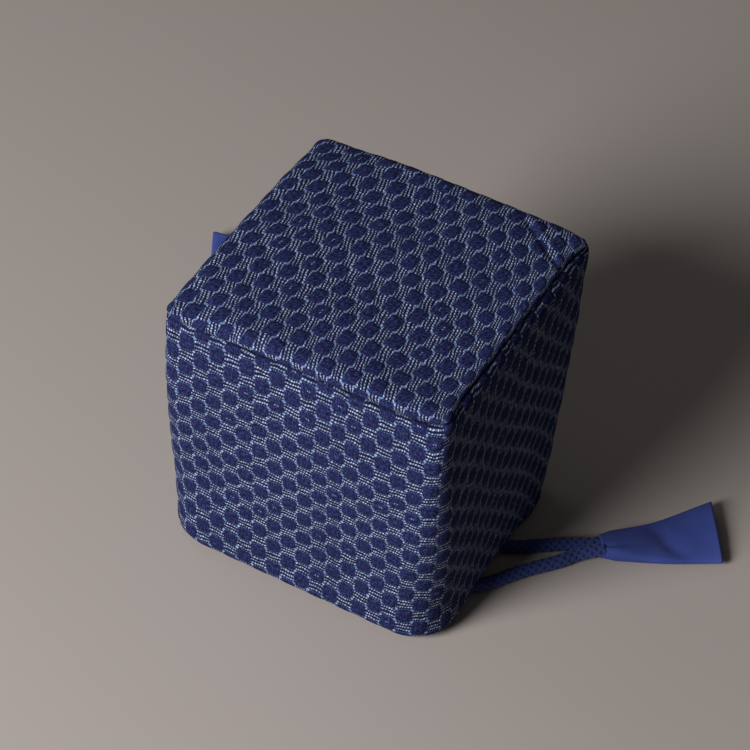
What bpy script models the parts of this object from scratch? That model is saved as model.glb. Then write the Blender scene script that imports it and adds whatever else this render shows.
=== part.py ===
# Teaware storage bag: a padded cube of checker-woven cloth with a drawstring mouth,
# standing on its drawn mouth with the square base panel on top.
# Metres, +Z up, origin on the table under the middle of the bag, front face towards -Y.

import math

import bmesh
import bpy
from mathutils import Vector

# Outer form
HEIGHT = 0.110
TOP_WIDTH = 0.100
TOP_DEPTH = 0.101
RIM_WIDTH = 0.1032
RIM_DEPTH = 0.0904
BULGE = 0.0007
BULGE_RISE = 0.45
BULGE_SPREAD = 0.22
WALL_SHARES = (0.0, 0.24, 0.56, 1.0)
CORNER_TOP = 0.004
CORNER_RIM = 0.016
RIM_ROLL = 0.0040

# Layers, from the outside in
CLOTH = 0.0012
PADDING = 0.0050
LINING = 0.0008
GAP = 0.0003

# Base panel and its seam
SEAM_DROP = 0.0030
SEAM_TUCK = 0.0009
EDGE_ROLL = 0.0045

# Checker weave: cells round one side, cells up the band, cells across the base panel
SIDE_COLUMNS = 18
BAND_ROWS = 21
BASE_COLUMNS = 23
BASE_ROWS = 16
PAD_RISE = 0.0009
CLOSING_SEAM = 5 * SIDE_COLUMNS // 2

# Mouth collar: plain cloth sewn to the rim and gathered round the cords
HEM_IN = 0.0025
HEM_WIDTH = 0.0040
COLLAR_CLOTH = 0.0009
NECK_RADIUS = 0.0133
CASING_WALL = 0.0009
CASING_FLOOR = 0.0034
FRILL_RADIUS = 0.0330
FRILL_CLOTH = 0.0017
PLEATS = 18
PLEAT_SLOPE = 0.0007
PLEAT_WALL = 0.0006
PLEAT_FRILL = 0.0016

# Drawstrings
CORD = 0.0040
CORD_SAG = 0.00005
CASING_PLAY = 0.00045
SLIT_WIDTH = 0.0228
SLIT_SLACK = 0.0012
LOOP_STEPS = 17
LOOP_OPENING = math.radians(42)
CORD_STEP = 0.0058
CORD_LEAD = 0.0045

# Arch of the rim over each pair of strands: half width, shoulder and where it fades
ARCH_RISE = 0.0047
ARCH_HALF = 0.0142
ARCH_SHOULDER = 0.0110
ARCH_FADE = 0.018
ARCH_INNER = 0.020
ARCH_OUTER = 0.030
ARCH_RIGHT_Y = -0.0020
ARCH_LEFT_Y = 0.0115

# Tabs folded round the cord ends
TAB_LENGTH = 0.040
TAB_NECK = 0.0112
TAB_END = 0.029
TAB_NECK_THICK = 0.0052
TAB_END_THICK = 0.0032
TAB_LIFT = 0.0014
TAB_RIGHT = ((0.0773, 0.0264), (0.1085, 0.0519))
TAB_LEFT = ((-0.0897, 0.0514), (-0.0981, 0.0905))

# Strand routes on the table, from the tab to the casing slit (x, y, height of the centre)
LIE = CORD / 2 + CORD_SAG
RIGHT_NEAR = (
    (0.0722, 0.0180, LIE),
    (0.0690, 0.0130, LIE),
    (0.0652, 0.0082, LIE),
    (0.0611, 0.0032, LIE),
    (0.0573, -0.0024, LIE),
    (0.0536, -0.0079, LIE),
    (0.0494, -0.0122, LIE),
    (0.0440, -0.0136, LIE + 0.0004),
    (0.0365, -0.0118, 0.0051),
    (0.0290, -0.0090, 0.0057),
    (0.0215, -0.0070, 0.0057),
)
RIGHT_FAR = (
    (0.0672, 0.0208, LIE),
    (0.0612, 0.0165, LIE),
    (0.0562, 0.0126, LIE),
    (0.0505, 0.0090, LIE),
    (0.0445, 0.0072, LIE + 0.0004),
    (0.0365, 0.0068, 0.0051),
    (0.0290, 0.0068, 0.0057),
    (0.0215, 0.0070, 0.0057),
)
LEFT_NEAR = (
    (-0.0886, 0.0390, LIE),
    (-0.0832, 0.0300, LIE),
    (-0.0745, 0.0222, LIE),
    (-0.0650, 0.0160, LIE),
    (-0.0575, 0.0118, LIE),
    (-0.0505, 0.0080, LIE),
    (-0.0445, 0.0036, LIE + 0.0004),
    (-0.0375, -0.0006, 0.0047),
    (-0.0300, -0.0044, 0.0066),
    (-0.0215, -0.0072, 0.0090),
)
LEFT_FAR = (
    (-0.0842, 0.0408, LIE),
    (-0.0790, 0.0350, LIE),
    (-0.0715, 0.0305, LIE),
    (-0.0640, 0.0275, LIE),
    (-0.0570, 0.0248, LIE),
    (-0.0505, 0.0217, LIE),
    (-0.0445, 0.0176, LIE + 0.0004),
    (-0.0375, 0.0130, 0.0047),
    (-0.0300, 0.0094, 0.0066),
    (-0.0215, 0.0074, 0.0090),
)

# Values worked out from the above
PADDING_IN = CLOTH + GAP
LINING_IN = PADDING_IN + PADDING + GAP
WALL = LINING_IN + LINING
CASING_HALF = CORD / 2 + CASING_PLAY
CASING_HEIGHT = 2 * CORD + 3 * GAP
CASING_TOP = CASING_FLOOR + CASING_HEIGHT
LOOP_RIGHT_Z = CASING_FLOOR + GAP + CORD / 2
LOOP_LEFT_Z = LOOP_RIGHT_Z + CORD + GAP
SEAM_Z = HEIGHT - SEAM_DROP
BASE_UNDER = HEIGHT - CLOTH - GAP - PADDING
PADDING_TOP = BASE_UNDER - GAP
ROLL_TOP = COLLAR_CLOTH + GAP + RIM_ROLL + 2 * CLOTH
LINING_TOP = BASE_UNDER - LINING - 2 * GAP
LINING_FLOOR = COLLAR_CLOTH + 4 * GAP
HOLE_RADIUS = NECK_RADIUS - CASING_HALF - CASING_WALL
CASING_OUT = NECK_RADIUS + CASING_HALF + CASING_WALL


def clear_scene():
    for item in list(bpy.data.objects):
        bpy.data.objects.remove(item, do_unlink=True)


def cloth_material(name, colour, roughness):
    material = bpy.data.materials.new(name)
    material.use_nodes = True
    shader = material.node_tree.nodes["Principled BSDF"]
    shader.inputs["Base Color"].default_value = (*colour, 1.0)
    shader.inputs["Roughness"].default_value = roughness
    shader.inputs["Metallic"].default_value = 0.0
    material.diffuse_color = (*colour, 1.0)
    return material


def smooth_step(value):
    value = min(max(value, 0.0), 1.0)
    return value * value * (3.0 - 2.0 * value)


def half_sizes(height):
    """Half width, half depth and corner radius of the outer cloth at a height."""
    rise = smooth_step(height / HEIGHT)
    bulge = BULGE * math.exp(-(((height / HEIGHT) - BULGE_RISE) / BULGE_SPREAD) ** 2)
    half_x = (RIM_WIDTH + (TOP_WIDTH - RIM_WIDTH) * rise) / 2 + bulge
    half_y = (RIM_DEPTH + (TOP_DEPTH - RIM_DEPTH) * rise) / 2 + bulge
    corner = CORNER_RIM + (CORNER_TOP - CORNER_RIM) * rise
    return half_x, half_y, corner


def side_point(half_along, half_out, corner, part):
    """Point on one side of a rounded rectangle, from the middle of one corner to the next."""
    arc = corner * math.pi / 4
    straight = 2 * (half_along - corner)
    travel = part * (straight + 2 * arc)
    mirrored = travel > arc + straight / 2
    if mirrored:
        travel = straight + 2 * arc - travel
    if travel < arc:
        turn = math.pi / 4 - travel / corner
        along = -(half_along - corner) - corner * math.sin(turn)
        out = half_out - corner + corner * math.cos(turn)
    else:
        along = -(half_along - corner) + travel - arc
        out = half_out
    return (-along if mirrored else along), out


def outline(half_x, half_y, corner):
    """Rounded rectangle with the same count of points on each of its four sides."""
    points = []
    for side in range(4):
        for column in range(SIDE_COLUMNS):
            part = column / SIDE_COLUMNS
            spans = (half_x, half_y) if side % 2 == 0 else (half_y, half_x)
            along, out = side_point(*spans, corner, part)
            place = ((along, -out), (out, along), (-along, out), (-out, -along))[side]
            points.append(place)
    return points


def arch_lift(place):
    """How far the soft rim rises over the strands that leave under it."""
    middle = ARCH_RIGHT_Y if place.x > 0 else ARCH_LEFT_Y
    inward = smooth_step((abs(place.x) - ARCH_INNER) / (ARCH_OUTER - ARCH_INNER))
    beyond = abs(place.y - middle) - ARCH_HALF
    across = 1.0 - smooth_step(beyond / ARCH_SHOULDER)
    fade = smooth_step(1.0 - place.z / ARCH_FADE)
    return Vector((0.0, 0.0, ARCH_RISE * inward * across * fade))


def lifted(place):
    return place + arch_lift(place)


def body_ring(inset, height):
    """Ring of points inside the outer form at one height."""
    half_x, half_y, corner = half_sizes(height)
    corner = max(corner - inset, 0.0015)
    places = outline(half_x - inset, half_y - inset, corner)
    return [lifted(Vector((x, y, height))) for x, y in places]


def tucked(ring, inset):
    """The band's closing seam pulls one column line in, less where the rim rolls under."""
    place = ring[CLOSING_SEAM]
    flat = Vector((place.x, place.y, 0.0))
    ring[CLOSING_SEAM] = place - flat.normalized() * SEAM_TUCK * (1 - inset / RIM_ROLL)
    return ring


def add_object(name, mesh, material):
    item = bpy.data.objects.new(name, mesh)
    bpy.context.scene.collection.objects.link(item)
    mesh.materials.append(material)
    return item


def finish_mesh(name, bm, material):
    bmesh.ops.recalc_face_normals(bm, faces=bm.faces)
    mesh = bpy.data.meshes.new(name)
    bm.to_mesh(mesh)
    bm.free()
    return add_object(name, mesh, material)


def cells_between(bm, lower, upper):
    """Quads between two rings of vertices with the same count."""
    count = len(lower)
    faces = []
    for i in range(count):
        j = (i + 1) % count
        faces.append(bm.faces.new((lower[i], lower[j], upper[j], upper[i])))
    return faces


def bridge(bm, first, second):
    """Triangles between two rings, split the same way on every layer so that layers nest."""
    lower, upper = sorted((first, second), key=lambda ring: ring[0].co.z)
    count = len(lower)
    for i in range(count):
        j = (i + 1) % count
        bm.faces.new((lower[i], lower[j], upper[j]))
        bm.faces.new((lower[i], upper[j], upper[i]))


def ring_wall(name, rings, material):
    """Closed wall: the rings run up one side, down the other and meet."""
    bm = bmesh.new()
    loops = [[bm.verts.new(place) for place in ring] for ring in rings]
    for i, loop in enumerate(loops):
        bridge(bm, loop, loops[(i + 1) % len(loops)])
    return finish_mesh(name, bm, material)


def slab(name, rings, material):
    """Closed slab: rings from its under side to its top, capped at both ends."""
    bm = bmesh.new()
    loops = [[bm.verts.new(place) for place in ring] for ring in rings]
    for lower, upper in zip(loops, loops[1:]):
        bridge(bm, lower, upper)
    bm.faces.new(list(reversed(loops[0])))
    bm.faces.new(loops[-1])
    return finish_mesh(name, bm, material)


def band_row(row):
    """Inset and height of one row line of the band, up the rolled rim and then the wall."""
    floor = COLLAR_CLOTH + GAP
    arc = RIM_ROLL * math.pi / 2
    top = SEAM_Z - GAP / 2 - SEAM_TUCK
    travel = (arc + top - floor - RIM_ROLL) * row / BAND_ROWS
    if travel < arc:
        turn = travel / RIM_ROLL
        return RIM_ROLL * (1 - math.sin(turn)), floor + RIM_ROLL * (1 - math.cos(turn))
    return 0.0, floor + RIM_ROLL + travel - arc


def wall_levels(inset):
    """Rings at the heights shared by the band's back and the wadding, above the rolled rim."""
    rise = PADDING_TOP - ROLL_TOP
    return [body_ring(inset, ROLL_TOP + rise * share) for share in WALL_SHARES]


def side_band(material):
    """The outer cloth of the four sides, woven in a checker of raised pads."""
    top = SEAM_Z - GAP / 2
    floor = COLLAR_CLOTH + GAP
    bm = bmesh.new()
    rows = []
    for row in range(BAND_ROWS + 1):
        inset, height = band_row(row)
        ring = tucked(body_ring(inset, height), inset)
        rows.append([bm.verts.new(place) for place in ring])
    pads = []
    for row in range(BAND_ROWS):
        cells = cells_between(bm, rows[row], rows[row + 1])
        pads += [cell for column, cell in enumerate(cells) if (row + column) % 2 == 0]
    back = [body_ring(SEAM_TUCK, top), body_ring(SEAM_TUCK + CLOTH, top)]
    back.append(body_ring(CLOTH, top - CLOTH))
    back += list(reversed(wall_levels(CLOTH)))
    back.append(body_ring(RIM_ROLL / 2, floor + CLOTH + RIM_ROLL * 0.45))
    back.append(body_ring(RIM_ROLL, floor + CLOTH))
    loops = [[bm.verts.new(place) for place in ring] for ring in back]
    for lower, upper in zip([rows[-1]] + loops, loops + [rows[0]]):
        bridge(bm, lower, upper)
    bmesh.ops.recalc_face_normals(bm, faces=bm.faces)
    bmesh.ops.poke(bm, faces=pads, offset=PAD_RISE)
    return finish_mesh("side_band", bm, material)


def base_point(part_x, part_y):
    """Point of the base panel's outer face for cell coordinates from -1 to 1."""
    half_x, half_y, corner = half_sizes(SEAM_Z)
    x = half_x * part_x
    y = half_y * part_y
    over_x = max(abs(x) - (half_x - corner), 0.0)
    over_y = max(abs(y) - (half_y - corner), 0.0)
    longest = max(over_x, over_y)
    if min(over_x, over_y) > 0.0:
        pull = longest / math.hypot(over_x, over_y)
        x = math.copysign(half_x - corner + over_x * pull, x)
        y = math.copysign(half_y - corner + over_y * pull, y)
    edge = max(abs(half_x * part_x) - half_x, abs(half_y * part_y) - half_y) + EDGE_ROLL
    turn = max(edge, 0.0) / EDGE_ROLL
    drop = (SEAM_DROP - SEAM_TUCK) * turn * turn
    return Vector((x, y, HEIGHT - drop))


def base_grid():
    columns = [-1 + 2 * i / BASE_COLUMNS for i in range(BASE_COLUMNS + 1)]
    rows = [-1 + 2 * i / BASE_ROWS for i in range(BASE_ROWS + 1)]
    return [[base_point(x, y) for x in columns] for y in rows]


def border(grid):
    """The grid's border vertices, once round."""
    lower = list(grid[0][:-1])
    right = [row[-1] for row in grid[:-1]]
    upper = list(reversed(grid[-1][1:]))
    left = [row[0] for row in reversed(grid[1:])]
    return lower + right + upper + left


def inward(place, inset, height):
    """A border point moved towards the middle of the panel."""
    half_x, half_y, corner = half_sizes(SEAM_Z)
    return Vector((place.x * (1 - inset / half_x), place.y * (1 - inset / half_y), height))


def base_panel(material):
    """The square base, woven in the same checker, turned down over its padding to the seam."""
    bm = bmesh.new()
    grid = [[bm.verts.new(place) for place in row] for row in base_grid()]
    pads = []
    for j in range(BASE_ROWS):
        for i in range(BASE_COLUMNS):
            quad = (grid[j][i], grid[j][i + 1], grid[j + 1][i + 1], grid[j + 1][i])
            cell = bm.faces.new(quad)
            if (i + j) % 2 == 0:
                pads.append(cell)
    edge = border(grid)
    under = SEAM_Z + GAP / 2
    steps = (
        (SEAM_TUCK, under),
        (SEAM_TUCK + CLOTH, under),
        (SEAM_TUCK + CLOTH + EDGE_ROLL, HEIGHT - CLOTH),
    )
    loops = [edge]
    for inset, height in steps:
        loops.append([bm.verts.new(inward(vert.co, inset, height)) for vert in edge])
    for lower, upper in zip(loops, loops[1:]):
        bridge(bm, lower, upper)
    bm.faces.new(loops[-1])
    bmesh.ops.recalc_face_normals(bm, faces=bm.faces)
    bmesh.ops.poke(bm, faces=pads, offset=PAD_RISE)
    return finish_mesh("base_panel", bm, material)


def base_padding(material):
    """Wadding under the base panel, over the top of the side wadding."""
    top = BASE_UNDER + PADDING
    rings = [
        body_ring(PADDING_IN, BASE_UNDER),
        body_ring(PADDING_IN + SEAM_TUCK, SEAM_Z - SEAM_TUCK),
        body_ring(PADDING_IN + SEAM_TUCK + EDGE_ROLL, top),
    ]
    return slab("base_padding", rings, material)


def base_lining(material):
    """Plain cotton under the base wadding, inside the side wadding."""
    top = BASE_UNDER - GAP
    rings = [body_ring(LINING_IN, top - LINING), body_ring(LINING_IN, top)]
    return slab("base_lining", rings, material)


def side_padding(material):
    """Wadding between the side band and the lining, filling the rolled rim."""
    floor = COLLAR_CLOTH + GAP
    turned = RIM_ROLL + GAP
    rings = [body_ring(PADDING_IN + PADDING, floor), body_ring(turned, floor)]
    rings.append(body_ring(turned, floor + CLOTH + GAP))
    rings.append(body_ring(RIM_ROLL / 2 + 1.5 * GAP, floor + CLOTH + RIM_ROLL * 0.45 + GAP))
    rings += wall_levels(PADDING_IN)
    rings.append(body_ring(PADDING_IN + PADDING, PADDING_TOP))
    rings += list(reversed(lining_levels(PADDING_IN + PADDING)))
    return ring_wall("side_padding", rings, material)


def lining_levels(inset):
    """Rings at the heights shared by the wadding's inner face and the lining."""
    middle = (LINING_FLOOR + LINING_TOP) / 2
    return [body_ring(inset, height) for height in (LINING_FLOOR, middle, LINING_TOP)]


def side_lining(material):
    """Plain cotton that faces the inside of the four sides."""
    rings = lining_levels(LINING_IN) + list(reversed(lining_levels(WALL)))
    return ring_wall("side_lining", rings, material)


def neck_ring(radius, height, pleat=0.0, rise=0.0):
    """Round ring at the mouth, pleated in radius or in height."""
    ring = []
    count = 4 * SIDE_COLUMNS
    for i in range(count):
        angle = math.radians(-135) + math.tau * i / count
        wave = math.cos(math.tau * i * PLEATS / count)
        spread = radius + pleat * (1 + wave) / 2
        place = Vector((spread * math.cos(angle), spread * math.sin(angle), height + rise * wave))
        ring.append(place)
    return ring


def slope_ring(share, height):
    """Ring of the gathered slope, part of the way from the hem to the casing."""
    hem = body_ring(HEM_IN + HEM_WIDTH, 0.0)
    neck = neck_ring(CASING_OUT, 0.0)
    count = len(hem)
    ring = []
    for i in range(count):
        wave = math.cos(math.tau * i * PLEATS / count)
        flat_hem = Vector((hem[i].x, hem[i].y, 0.0))
        place = flat_hem.lerp(neck[i], share)
        place.z = height + PLEAT_SLOPE * wave * share
        ring.append(lifted(place))
    return ring


def collar_rings():
    """Section of the collar: hem, gathered slope, casing wall, frill, mouth and back."""
    shoulder = CASING_TOP + CASING_WALL
    frill_root = CASING_FLOOR - CASING_WALL
    return [
        body_ring(HEM_IN, 0.0),
        body_ring(HEM_IN + HEM_WIDTH, 0.0),
        slope_ring(0.30, shoulder * 0.40),
        slope_ring(0.65, shoulder * 0.82),
        neck_ring(CASING_OUT, shoulder - COLLAR_CLOTH, PLEAT_WALL),
        neck_ring(CASING_OUT, CASING_FLOOR + GAP, PLEAT_WALL),
        neck_ring(CASING_OUT + 0.0028, FRILL_CLOTH + 3 * GAP, PLEAT_WALL),
        neck_ring(FRILL_RADIUS, FRILL_CLOTH + GAP, PLEAT_FRILL),
        neck_ring(FRILL_RADIUS + GAP, GAP, PLEAT_FRILL),
        neck_ring(CASING_OUT, GAP),
        neck_ring(HOLE_RADIUS, frill_root, -PLEAT_WALL),
        neck_ring(HOLE_RADIUS, shoulder, -PLEAT_WALL),
        neck_ring(HOLE_RADIUS + CASING_WALL, shoulder + COLLAR_CLOTH, 0.0, PLEAT_SLOPE),
        neck_ring(CASING_OUT, shoulder + COLLAR_CLOTH, 0.0, PLEAT_SLOPE),
        slope_ring(0.65, shoulder * 0.82 + COLLAR_CLOTH * 1.2),
        slope_ring(0.30, shoulder * 0.40 + COLLAR_CLOTH * 1.1),
        body_ring(HEM_IN + HEM_WIDTH, COLLAR_CLOTH),
        body_ring(HEM_IN, COLLAR_CLOTH),
    ]


def hide_cutter(cutter):
    cutter.hide_render = True
    cutter.display_type = "WIRE"


def casing_cutter(material):
    """The tunnel that the cords run in, as a ring to cut out of the collar."""
    inner = NECK_RADIUS - CASING_HALF
    outer = NECK_RADIUS + CASING_HALF
    rings = [
        neck_ring(inner, CASING_FLOOR),
        neck_ring(outer, CASING_FLOOR),
        neck_ring(outer, CASING_TOP),
        neck_ring(inner, CASING_TOP),
    ]
    cutter = ring_wall("cut_casing", rings, material)
    hide_cutter(cutter)
    return cutter


def slit_cutter(name, side, height, material):
    """The slit at one side of the casing where a cord comes out."""
    bm = bmesh.new()
    bmesh.ops.create_cube(bm, size=1.0)
    start = NECK_RADIUS - CORD / 2 - GAP / 2
    depth = CASING_OUT + PLEAT_WALL + CASING_WALL - start
    tall = CORD + SLIT_SLACK + GAP
    bmesh.ops.scale(bm, vec=(depth, SLIT_WIDTH, tall), verts=bm.verts)
    shift = (side * (start + depth / 2), 0.0, height - SLIT_SLACK / 2)
    bmesh.ops.translate(bm, vec=shift, verts=bm.verts)
    cutter = finish_mesh(name, bm, material)
    hide_cutter(cutter)
    return cutter


def mouth_collar(material):
    """Plain cloth gathered to the mouth, with a casing for the cords and a frill."""
    collar = ring_wall("mouth_collar", collar_rings(), material)
    cutters = (
        casing_cutter(material),
        slit_cutter("cut_slit_right", 1, LOOP_RIGHT_Z, material),
        slit_cutter("cut_slit_left", -1, LOOP_LEFT_Z, material),
    )
    for cutter in cutters:
        cut = collar.modifiers.new(cutter.name, "BOOLEAN")
        cut.operation = "DIFFERENCE"
        cut.object = cutter
    return collar


def spline_point(before, start, end, after, part):
    """Catmull-Rom curve between two route points."""
    a = 2 * start
    b = end - before
    c = 2 * before - 5 * start + 4 * end - after
    d = 3 * start - before - 3 * end + after
    return (a + b * part + c * part ** 2 + d * part ** 3) / 2


def smooth_route(points):
    """Points of a smooth curve through the route, spaced for a tube."""
    places = [Vector(point) for point in points]
    padded = [places[0] * 2 - places[1]] + places + [places[-1] * 2 - places[-2]]
    route = []
    for i in range(len(places) - 1):
        before, start, end, after = padded[i:i + 4]
        steps = max(1, round((end - start).length / CORD_STEP))
        route += [spline_point(before, start, end, after, k / steps) for k in range(steps)]
    route.append(places[-1])
    return route


def loop_points(side, height):
    """The cord's turn round the neck, from one strand to the other."""
    sweep = math.tau - 2 * LOOP_OPENING
    points = []
    for step in range(LOOP_STEPS + 1):
        angle = -LOOP_OPENING - sweep * step / LOOP_STEPS
        x = side * NECK_RADIUS * math.cos(angle)
        points.append((x, NECK_RADIUS * math.sin(angle), height))
    return points


def tab_frame(ends):
    """Neck place, unit length direction and unit cross direction of a tab."""
    neck = Vector((*ends[0], 0.0))
    along = (Vector((*ends[1], 0.0)) - neck).normalized()
    across = Vector((-along.y, along.x, 0.0))
    return neck, along, across


def strand_lead(ends, side):
    """A strand's end at the tab's neck face, beside its twin, and its straight lead."""
    neck, along, across = tab_frame(ends)
    beside = neck + across * side * (CORD + GAP) / 2
    places = [beside - along * GAP, beside - along * CORD_LEAD]
    return [(place.x, place.y, LIE) for place in places]


def drawstring(name, ends, near, far, height, material):
    """One cord: out of the tab, round the casing and back to the tab."""
    side = 1 if ends[0][0] > 0 else -1
    start = strand_lead(ends, -side)
    finish = list(reversed(strand_lead(ends, side)))
    points = [*start, *near, *loop_points(side, height), *reversed(far), *finish]
    curve = bpy.data.curves.new(name, "CURVE")
    curve.dimensions = "3D"
    route = smooth_route(points)
    spline = curve.splines.new("POLY")
    spline.points.add(len(route) - 1)
    for point, place in zip(spline.points, route):
        point.co = (*place, 1.0)
    curve.bevel_depth = CORD / 2
    curve.bevel_resolution = 2
    curve.use_fill_caps = True
    curve.materials.append(material)
    item = bpy.data.objects.new(name, curve)
    bpy.context.scene.collection.objects.link(item)
    return item


def tab_section(ends, part):
    """Eight-sided section across a tab, part of the way from neck to end."""
    neck, along, across = tab_frame(ends)
    flare = smooth_step(part * 0.9 + 0.05)
    half = (TAB_NECK + (TAB_END - TAB_NECK) * part) / 2
    thick = TAB_NECK_THICK + (TAB_END_THICK - TAB_NECK_THICK) * flare
    middle = neck + along * TAB_LENGTH * part + Vector((0, 0, TAB_LIFT * part * part))
    bevel = thick * 0.3
    shape = (
        (-half, bevel), (-half + bevel, 0.0), (half - bevel, 0.0), (half, bevel),
        (half, thick - bevel), (half - bevel, thick), (-half + bevel, thick), (-half, thick - bevel),
    )
    return [middle + across * side + Vector((0, 0, up)) for side, up in shape]


def cord_tab(name, ends, material):
    """Square of plain cloth folded flat round both ends of a cord and stitched."""
    rings = [tab_section(ends, part) for part in (0.0, 0.15, 0.4, 0.7, 1.0)]
    return slab(name, rings, material)


def build():
    clear_scene()
    woven = cloth_material("woven_indigo", (0.045, 0.055, 0.17), 0.9)
    wadding = cloth_material("wadding", (0.78, 0.77, 0.74), 1.0)
    cotton = cloth_material("lining_cotton", (0.60, 0.60, 0.58), 0.9)
    plain = cloth_material("plain_blue", (0.03, 0.05, 0.19), 0.9)
    braid = cloth_material("braided_cord", (0.03, 0.035, 0.12), 0.85)
    side_band(woven)
    base_panel(woven)
    side_padding(wadding)
    base_padding(wadding)
    side_lining(cotton)
    base_lining(cotton)
    mouth_collar(plain)
    drawstring("drawstring_right", TAB_RIGHT, RIGHT_NEAR, RIGHT_FAR, LOOP_RIGHT_Z, braid)
    drawstring("drawstring_left", TAB_LEFT, LEFT_NEAR, LEFT_FAR, LOOP_LEFT_Z, braid)
    cord_tab("tab_right", TAB_RIGHT, plain)
    cord_tab("tab_left", TAB_LEFT, plain)


build()
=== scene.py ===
# Teaware storage bag: a padded cube of checker-woven indigo cloth that stands on its
# drawn mouth, with two double cords and their folded cloth tabs.

import math

import bmesh
import bpy
from mathutils import Matrix, Vector, noise


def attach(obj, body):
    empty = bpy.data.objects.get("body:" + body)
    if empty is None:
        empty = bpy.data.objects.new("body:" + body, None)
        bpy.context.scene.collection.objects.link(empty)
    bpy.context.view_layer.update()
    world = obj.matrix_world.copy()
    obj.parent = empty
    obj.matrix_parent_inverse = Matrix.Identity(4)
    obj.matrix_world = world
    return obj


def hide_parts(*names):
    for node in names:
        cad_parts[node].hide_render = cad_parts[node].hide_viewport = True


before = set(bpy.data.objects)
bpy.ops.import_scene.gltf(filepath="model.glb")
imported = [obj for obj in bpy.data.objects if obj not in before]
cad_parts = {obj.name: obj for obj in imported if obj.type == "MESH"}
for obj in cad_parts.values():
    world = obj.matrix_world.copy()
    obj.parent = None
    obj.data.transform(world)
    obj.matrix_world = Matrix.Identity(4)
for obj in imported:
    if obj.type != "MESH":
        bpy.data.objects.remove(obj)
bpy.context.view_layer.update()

# Camera
# The photograph looks down on the near right corner of the bag from about a metre away,
# with the long lens of a close product shot and a slight tilt of the camera.
VIEW_TURN = math.radians(25.01)
VIEW_DROP = math.radians(44.13)
VIEW_ROLL = math.radians(5.41)
VIEW_DISTANCE = 0.986
VIEW_TARGET = Vector((0.0, 0.0, 0.045))
VIEW_SHIFT_RIGHT = 0.00198
VIEW_SHIFT_UP = 0.01337
LENS = 144.0

backward = Vector((
    math.sin(VIEW_TURN) * math.cos(VIEW_DROP),
    -math.cos(VIEW_TURN) * math.cos(VIEW_DROP),
    math.sin(VIEW_DROP),
))
level_right = Vector((math.cos(VIEW_TURN), math.sin(VIEW_TURN), 0.0))
level_up = backward.cross(level_right)
view_right = level_right * math.cos(VIEW_ROLL) + level_up * math.sin(VIEW_ROLL)
view_up = level_up * math.cos(VIEW_ROLL) - level_right * math.sin(VIEW_ROLL)
eye = VIEW_TARGET + backward * VIEW_DISTANCE
eye += view_right * VIEW_SHIFT_RIGHT + view_up * VIEW_SHIFT_UP

camera_data = bpy.data.cameras.new("camera")
camera_data.lens = LENS
camera_data.sensor_width = 36.0
camera_data.clip_start = 0.05
camera = bpy.data.objects.new("camera", camera_data)
bpy.context.scene.collection.objects.link(camera)
turn = Matrix((view_right, view_up, backward)).transposed()
camera.matrix_world = Matrix.Translation(eye) @ turn.to_4x4()
bpy.context.scene.camera = camera
bpy.context.scene.view_settings.view_transform = "Standard"

# Floor
# A plain pale studio floor, with no texture of its own.
FLOOR_COLOUR = (0.330, 0.290, 0.270, 1.0)
FLOOR_SIZE = 6.0
FLOOR_ROUGHNESS = 0.9

floor_mesh = bmesh.new()
bmesh.ops.create_grid(floor_mesh, x_segments=1, y_segments=1, size=FLOOR_SIZE / 2)
floor_data = bpy.data.meshes.new("floor")
floor_mesh.to_mesh(floor_data)
floor_mesh.free()
floor = bpy.data.objects.new("floor", floor_data)
bpy.context.scene.collection.objects.link(floor)
floor_finish = bpy.data.materials.new("pale_floor")
floor_finish.use_nodes = True
floor_shader = floor_finish.node_tree.nodes["Principled BSDF"]
floor_shader.inputs["Base Color"].default_value = FLOOR_COLOUR
floor_shader.inputs["Roughness"].default_value = FLOOR_ROUGHNESS
floor_data.materials.append(floor_finish)

# Light
# One broad soft lamp low in front, like a window, a weak one at the left, and a dim room.
WORLD_STRENGTH = 0.060
LAMPS = (
    ("key", (-0.384, -1.008, 0.663), 0.60, 26.0),
    ("fill", (-1.30, 0.20, 1.20), 1.2, 2.0),
)

world = bpy.data.worlds.new("room")
bpy.context.scene.world = world
world.use_nodes = True
world.node_tree.nodes["Background"].inputs["Color"].default_value = (1.0, 1.0, 1.0, 1.0)
world.node_tree.nodes["Background"].inputs["Strength"].default_value = WORLD_STRENGTH
for lamp_name, lamp_place, lamp_size, lamp_power in LAMPS:
    lamp_data = bpy.data.lights.new(lamp_name, "AREA")
    lamp_data.shape = "DISK"
    lamp_data.size = lamp_size
    lamp_data.energy = lamp_power
    lamp = bpy.data.objects.new(lamp_name, lamp_data)
    bpy.context.scene.collection.objects.link(lamp)
    aim = (VIEW_TARGET - Vector(lamp_place)).to_track_quat("-Z", "Y")
    lamp.matrix_world = Matrix.Translation(lamp_place) @ aim.to_matrix().to_4x4()

# Drawstrings
# Two round braided cotton cords, 4 mm thick in the casing and a little fuller where they
# are free. Each runs once round the casing of the mouth and leaves it at its own side as two
# strands that lie on the table up to a tab, where one strand lies over the other.
CORD = 0.0040
LIE = 0.00245
STRAND = 0.0048
STRAND_APART = 0.0040
STRAND_OVER = 0.0014
STRAND_OVER_LEAD = 0.55
NECK_DRIFT = 0.0009
NECK_RADIUS = 0.0133
LOOP_OPENING = math.radians(42)
LOOP_STEPS = 17
LOOP_RIGHT_Z = 0.0057
LOOP_LEFT_Z = 0.0100
BRAID_STEP = 0.0030
BRAID_CARRIERS = 5
BRAID_RELIEF = 0.00024
BRAID_GRAIN = 0.00012
BRAID_FINENESS = 2400.0
BRAID_DARK = (0.007, 0.010, 0.044)
BRAID_PALE = (0.042, 0.066, 0.240)
CLOTH_SHINE = 0.08
STRAND_SIDES = 32
STRAND_RING = 0.00036
TAB_RIGHT = ((0.0773, 0.0264), (0.1085, 0.0519))
TAB_LEFT = ((-0.0897, 0.0514), (-0.0981, 0.0905))
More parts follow.
